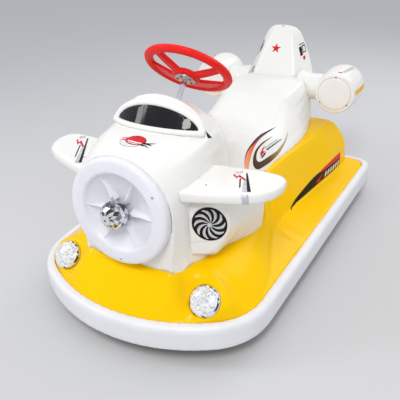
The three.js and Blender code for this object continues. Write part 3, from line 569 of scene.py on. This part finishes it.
def patch(name, shapes, origin, u, v, targets, mirror=False, reach=0.07):
    """A printed film: flat outlines (mm, in the plane u, v at origin) laid down on the skins below it."""
    o, u, v = Vector(origin) * MM, Vector(u).normalized(), Vector(v).normalized()
    n = u.cross(v).normalized()
    v = n.cross(u)
    if mirror:
        o, u, v, n = (Vector((-w.x, w.y, w.z)) for w in (o, u, v, n))
    looks = []
    bm = bmesh.new()
    for layer, (points, look) in enumerate(shapes):
        if look not in looks:
            looks.append(look)
        part = bmesh.new()
        part.faces.new([part.verts.new((a * MM, b * MM, 0)) for a, b in points])
        part.normal_update()
        bmesh.ops.triangulate(part, faces=part.faces[:], ngon_method="EAR_CLIP")
        split_long(part, FILM_CELL * MM)
        kept = {}
        for w in part.verts:
            p = o + u * w.co.x + v * w.co.y
            best = None
            for t in targets:
                hit = tree(t).ray_cast(p + n * reach, -n, 2.4 * reach)
                if hit[0] is not None and (best is None or hit[3] < best[3]):
                    best = hit
            if best:
                out = best[1] if best[1].dot(n) > 0 else -best[1]
                kept[w] = bm.verts.new(best[0] + out * (FILM_OUT + FILM_STEP * layer))
        for f in part.faces:
            if all(w in kept for w in f.verts):
                ring = [kept[w] for w in f.verts]
                if (ring[1].co - ring[0].co).cross(ring[2].co - ring[0].co).dot(n) < 0:
                    ring.reverse()
                g = bm.faces.new(ring)
                g.material_index = looks.index(look)
                g.smooth = True
        part.free()
    mesh = bpy.data.meshes.new(name)
    bm.to_mesh(mesh)
    bm.free()
    for m in looks:
        mesh.materials.append(m)
    piece = link(name, mesh)
    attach(piece, "car_body")


def disc(r, x=0.0, y=0.0, n=40, squash=1.0):
    turns = [2 * math.pi * i / n for i in range(n)]
    return [(x + r * math.cos(a), y + squash * r * math.sin(a)) for a in turns]


def star(r, inner, points=5):
    out = []
    for i in range(points * 2):
        a = math.pi / 2 + math.pi * i / points
        k = r if i % 2 == 0 else inner
        out.append((k * math.cos(a), k * math.sin(a)))
    return out


FAN_BLADES = 10


def fan_blade(k, reach=1.0, shift=0.0):
    """One curved blade, broad at its tip."""
    turn = 2 * math.pi * k / FAN_BLADES
    lead = [(r, turn + 0.8 * (r / 43) ** 1.6 - shift) for r in (6, 13, 20, 27, 33, 38, 42)]
    width = [0.3, 0.27, 0.28, 0.3, 0.32, 0.3, 0.17]
    back = [(r, a - w * reach) for (r, a), w in zip(lead, width)]
    return [(r * math.cos(a), r * math.sin(a)) for r, a in lead + back[::-1]]


def leaned(points):
    """The fan disc, sheared to follow the cheek it is printed on."""
    return [(0.95 * a - 0.1 * b, -0.08 * a + 1.05 * b) for a, b in points]


def flowing(points, steps=5):
    """A smooth closed outline through the points; a point given twice stays a sharp tip."""
    n, out = len(points), []
    for i in range(n):
        p0, p1, p2, p3 = (np.array(points[(i + k) % n], float) for k in (-1, 0, 1, 2))
        if (p1 == p2).all():
            continue
        for t in np.arange(steps) / steps:
            bend = 2 * p0 - 5 * p1 + 4 * p2 - p3
            twist = 3 * p1 - p0 - 3 * p2 + p3
            q = 0.5 * (2 * p1 + (p2 - p0) * t + bend * t * t + twist * t ** 3)
            out.append(tuple(q))
    return out


FAN_DISC = [(disc(47.5), F_DARK_RED), (disc(46.4), F_BLACK)]
FAN_DISC += [(fan_blade(k), F_SILVER) for k in range(FAN_BLADES)]
FAN_DISC += [(fan_blade(k, 0.22, 0.07), F_WHITE) for k in range(FAN_BLADES)]
FAN_DISC += [(disc(6.5, n=20), F_SILVER)]
FAN = [
    ([(-54, -50), (-53.4, -50), (-53.4, 44), (-54, 44)], F_SILVER),
    ([(-54, -50), (20, -50), (20, -49.4), (-54, -49.4)], F_SILVER),
] + [(leaned(points), look) for points, look in FAN_DISC]
SWOOSH = [
    (flowing([(203, 24), (203, 24), (150, 33), (103, 38), (40, 39), (-37, 34), (-85, 22), (-108, 2),
              (-118, -24), (-118, -24), (-100, -20), (-72, 0), (-26, 17), (20, 26), (65, 29), (120, 28),
              (170, 25)]), F_FLAME),
    (flowing([(203, 24), (203, 24), (150, 33), (103, 38), (40, 39), (-37, 34), (-85, 22), (-112, -4),
              (-112, -4), (-85, 19), (-37, 30), (40, 32), (103, 31), (150, 28)]), F_BLACK),
    (flowing([(161, 6), (161, 6), (79, 15), (30, 16), (-11, 12), (-46, 0), (-62, -18), (-47, -37),
              (16, -47), (60, -50), (110, -49), (159, -43), (202, -32), (235, -14), (235, -14),
              (190, -30), (150, -36), (110, -38), (77, -35), (11, -28), (-18, -23), (-29, -14), (-22, -4),
              (0, 6), (40, 11), (90, 10)]), F_GOLD),
    (flowing([(161, 6), (161, 6), (79, 15), (30, 16), (-11, 12), (-46, 0), (-46, 0), (-11, 9), (30, 13),
              (79, 12)]), F_BLACK),
    ([(0, -19), (14, -3), (44, 2), (70, 3), (34, -5), (48, -11), (14, -13)], F_RED),
    ([(4, -21), (14, -15), (48, -13), (40, -19), (14, -20)], F_BLACK),
    ([(56, -5), (160, -13), (160, -10), (62, -1)], F_SILVER),
    ([(58, -13), (178, -21), (178, -19), (62, -9)], F_BLACK),
]
WEDGE = [
    (flowing([(70, 131), (70, 131), (171, 153), (264, 169), (312, 174), (312, 174), (420, 169),
              (496, 165), (496, 165),
              (492, 136), (492, 136), (434, 134), (313, 134), (196, 133)]), F_BLACK),
    ([(496, 188), (428, 186), (355, 180), (306, 173), (330, 169), (420, 169), (496, 165)], F_RED),
    ([(286, 137), (318, 141), (304, 147), (340, 157), (322, 158), (278, 146), (296, 143)], F_RED),
] + [([(x, 140), (x + 14, 140), (x + 23, 159), (x + 9, 159)], F_WHITE) for x in range(348, 468, 23)]
WING_TOP_FILM = [
    ([(-14, 55), (7, 57), (5, 47), (-12, 44)], F_SILVER),
    ([(-6, 14), (-2, 17), (-7, -28), (-11, -34)], F_BLACK),
    ([(5, 10), (11, 12), (7, -54), (-6, -54)], F_SILVER),
    ([(13, 42), (17, 46), (15, -54), (6, -54)], F_BLACK),
    ([(-20, 38), (-13, 18), (-7, 26), (7, 4), (10, 9), (-4, 36), (-11, 27), (-16, 42)], F_RED),
]
WING_FRONT_FILM = [
    ([(-10, 16), (6, 16), (10, -14), (-3, -14)], F_LILAC),
    ([(5, 16), (9, 16), (12, -14), (9, -14)], F_SILVER),
]
EMBLEM = [
    (disc(30, -6, -2, 48, 0.86), F_BLACK),
    (disc(29, -6, -2, 48, 0.86), F_WHITE),
    ([(-44, 8), (-20, 12), (0, 6), (14, -2), (-6, 0), (-24, 4)], F_RED),
    ([(-46, 0), (-24, 2), (-2, -2), (6, -8), (-14, -6), (-28, -3)], F_RED),
    (disc(27, 3, 5, 40, 0.8), F_BLACK),
    (disc(26, 3, 5, 40, 0.8), F_RED),
    ([(-16, 0), (4, -2), (26, 0), (26, -4), (6, -7), (-16, -5)], F_WHITE),
    ([(-12, -8), (4, -10), (18, -8), (16, -11), (4, -13), (-10, -11)], F_WHITE),
    ([(20, 0), (40, 6), (58, 16), (42, 3), (54, 0), (40, -1), (30, -3)], F_BLACK),
    ([(22, -6), (38, -6), (52, -12), (36, -9), (28, -12)], F_BLACK),
]
TAIL_FILM = [
    ([(-19, 14), (-5, 17), (-5, -18), (-19, -20)], F_BLACK),
    ([(-17, -4), (-7, -2), (-7, -16), (-17, -18)], F_DARK_RED),
    ([(-3, 19), (14, 23), (15, -6), (-3, -10)], F_BLACK),
    ([(0, 15), (11, 18), (12, -2), (0, -6)], F_WHITE),
    ([(-16, 24), (12, 31), (12, 28), (-16, 21)], F_BLACK),
    ([(-9, -24), (6, -20), (2, -34), (-6, -37)], F_RED),
]
POD_TOP_FILM = [
    ([(-12, -44), (-6, -48), (-2, -38), (-8, -34)], F_RED),
    ([(-4, -44), (2, -48), (6, -38), (0, -34)], F_RED),
    ([(2, -30), (4, -30), (20, 60), (18, 60)], F_BLACK),
    ([(8, -34), (9.4, -34), (28, 62), (26.6, 62)], F_BLACK),
]
POD_STRIPE = [([(-54, -9), (58, -9), (70, 0), (58, 9), (-54, 9), (-60, 0)], F_YELLOW)]

ALONG, UP = (0, 1, 0), (0, 0, 1)
for mirror, side in ((False, "left"), (True, "right")):
    pod = "engine_pod_" + side
    patch("fan_film_" + side, FAN, (195, -450, 335), (0.8, 0.6, 0), UP, ["front_fuselage"], mirror)
    patch("swoosh_film_" + side, SWOOSH, (150, -30, 350), ALONG, (-0.63, 0, 0.78),
          ["seat_body", "front_fuselage"], mirror)
    patch("wedge_film_" + side, WEDGE, (330, -30, 0), ALONG, UP, ["base_shell"], mirror, reach=0.12)
    patch("tail_film_" + side, TAIL_FILM, (90, 566, 545), (0.47, 0.88, 0), (-0.42, 0.2, 0.9),
          ["tail_backrest"], mirror)
    patch("pod_top_film_" + side, POD_TOP_FILM, (270, 515, 500), (0.97, 0, -0.25), ALONG, [pod],
          mirror)
    patch("pod_stripe_" + side, POD_STRIPE, (338, 520, 430), ALONG, UP, [pod], mirror)
patch("wing_film_left", WING_TOP_FILM, (258, -396, 444), (0.873, 0.487, 0), (-0.487, 0.873, 0),
      ["wing_left"])
patch("wing_edge_film_left", WING_FRONT_FILM, (287, -452, 430), (0.85, 0.52, 0), UP, ["wing_left"])
LONG_FILM = [([(0.9 * a, 1.75 * (b + 54) - 54) for a, b in points], look) for points, look in WING_TOP_FILM]
patch("wing_film_right", LONG_FILM, (-212, -444, 444), (0.83, 0.56, 0), (-0.56, 0.83, 0),
      ["wing_right"])
patch("emblem_film", EMBLEM, (2, -474, 535), (1, 0, 0), (0, 0.99, 0.15), ["front_fuselage"])
patch("sill_end_film", [([(-7, 11), (9, -8), (-9, -9)], F_BLACK)], (137, -338, 523), (0.5, 0.86, 0),
      (-0.47, 0.28, 0.83), ["front_fuselage"])
patch("tail_slot_film", [(disc(9, n=20, squash=0.25), F_SILVER)], (0, 571, 632), (1, 0, 0), ALONG,
      ["tail_backrest"])
patch("star_film", [(star(21, 8.4), F_RED)], (-11, 529, 551), (1, 0, 0), (0, 0.43, 0.9),
      ["tail_backrest"])


# ---------- screws ----------
def screw(name, place, axis, r, look, body="car_body"):
    """A low domed head whose recess is coloured near black, painted shade."""
    dome = [(r, -1.5), (r, 0.5), (r * 0.8, 1.2), (r * 0.36, 1.4), (r * 0.3, 0.5), (0, 0.4)]
    # The rings past the third form the recess, which takes the near-black look as painted shade.
    head = faceted(name, dome, Vector(place) * MM, axis, (look, DARK_SPECK_AND_PAINTED_DARK), lambda i, j: 1 if i > 2 else 0, 12, 0)
    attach(head, body)


nose_flat = Vector((1, 0, 0))
nose_up = NOSE_AXIS.cross(nose_flat)
for k, (a, b) in enumerate(((108, 68), (6, -127))):
    p = NOSE_MIDDLE + (nose_flat * a + nose_up * b + NOSE_AXIS * 3.2) * MM
    screw("nose_screw_%d" % k, p / MM, NOSE_AXIS, 3.4, CHROME)
for sign, side in ((1, "left"), (-1, "right")):
    for k, (x, z) in enumerate(((256, 483), (205, 384), (307, 384))):
        screw("pod_screw_%s_%d" % (side, k), (sign * x, 451.6, z), (0, -1, 0), 2.6, DARK)
    screw("wing_screw_" + side, (sign * 187, -450, 443.6), (0, 0, 1), 2.2, STEEL)
for k in range(5):
    a = 2 * math.pi * (k + 0.3) / 5
    p = WHEEL_MIDDLE + (Vector((1, 0, 0)) * math.cos(a) + WHEEL_UP * math.sin(a)) * 0.021 - WHEEL_AXIS * 0.033
    screw("hub_screw_%d" % k, p / MM, -WHEEL_AXIS, 3.4, STEEL, "steering")
